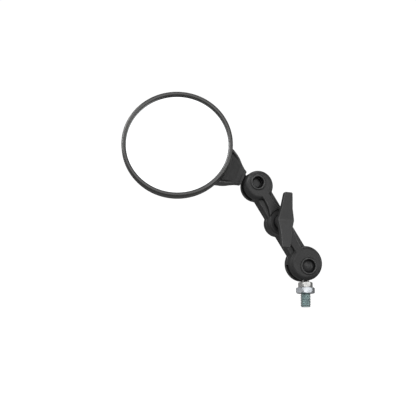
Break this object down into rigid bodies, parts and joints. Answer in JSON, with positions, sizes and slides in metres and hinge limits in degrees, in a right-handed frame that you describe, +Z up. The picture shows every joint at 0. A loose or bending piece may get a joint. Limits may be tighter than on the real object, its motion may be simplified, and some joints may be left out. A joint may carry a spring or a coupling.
{
  "type": "bicycle mirror",
  "caption": "Round convex bicycle mirror on a clamp arm with a ball joint at each end, freed and fixed by a central wing lever, on a threaded mounting stud.",
  "frame": {"origin": "on the stud axis, at the underside of the lock nut in its rest place", "axes": "+Z up the stud towards the lower ball, -Y the front, where the wing lever is, and the arm swings in the XZ plane"},
  "size_m": [0.1557, 0.0383, 0.1644],
  "materials": {
    "zinc_steel": "bright zinc plating, blue-green passivated on the thread",
    "zinc_nut": "bright zinc plating",
    "ball_plastic": "moulded, lightly worn",
    "arm_plastic": "glass-filled nylon, fine grain",
    "bolt_steel": "zinc plated",
    "spring_steel": "spring wire",
    "washer_steel": "black oxide",
    "lever_plastic": "glass-filled nylon, fine grain",
    "insert_brass": "turned",
    "housing_plastic": "moulded, soft satin",
    "bezel_plastic": "moulded, satin",
    "mirror_glass": "silvered, convex",
    "pad_foam": "closed-cell foam"
  },
  "bodies": {
    "stud": {"ball_stud": "zinc_steel"},
    "nut": {"lock_nut": "zinc_nut"},
    "lower_knuckle": {"lower_ball": "ball_plastic"},
    "arm": {"rear_shell": "arm_plastic", "clamp_bolt": "bolt_steel", "clamp_spring": "spring_steel"},
    "clamp_front": {"front_shell": "arm_plastic", "lever_washer": "washer_steel"},
    "lever": {"wing_lever": "lever_plastic", "lever_insert": "insert_brass"},
    "upper_knuckle": {"upper_ball": "ball_plastic"},
    "head": {"mirror_housing": "housing_plastic", "rim_bezel": "bezel_plastic", "mirror_glass": "mirror_glass", "glass_pad": "pad_foam"}
  },
  "joints": [
    {"name": "nut_travel", "type": "slide", "parent": "stud", "child": "nut", "axis": [0, 0, -1], "range_m": [0, 0.005]},
    {"name": "stud_spin", "type": "hinge", "parent": "stud", "child": "lower_knuckle", "pos_m": [0, 0, 0.02035], "axis": [0, 0, 1], "continuous": true},
    {"name": "lower_swing", "type": "hinge", "parent": "lower_knuckle", "child": "arm", "pos_m": [0, 0, 0.02035], "axis": [0, -1, 0], "range_deg": [-82.3, 17.7]},
    {"name": "shell_open", "type": "slide", "parent": "arm", "child": "clamp_front", "axis": [0, -1, 0], "range_m": [0, 0.0013]},
    {"name": "lever_turn", "type": "hinge", "parent": "clamp_front", "child": "lever", "pos_m": [-0.02121, 0, 0.05391], "axis": [0, -1, 0], "range_deg": [0, 360]},
    {"name": "upper_swing", "type": "hinge", "parent": "arm", "child": "upper_knuckle", "pos_m": [-0.04013, 0, 0.08383], "axis": [0, -1, 0], "range_deg": [-83.5, 16.5]},
    {"name": "head_spin", "type": "hinge", "parent": "upper_knuckle", "child": "head", "pos_m": [-0.04013, 0, 0.08383], "axis": [-0.9121, 0, 0.4099], "continuous": true}
  ],
  "couplings": [
    {"joint": "shell_open", "follows": "lever_turn", "m_per_rad": 0.00015915}
  ]
}
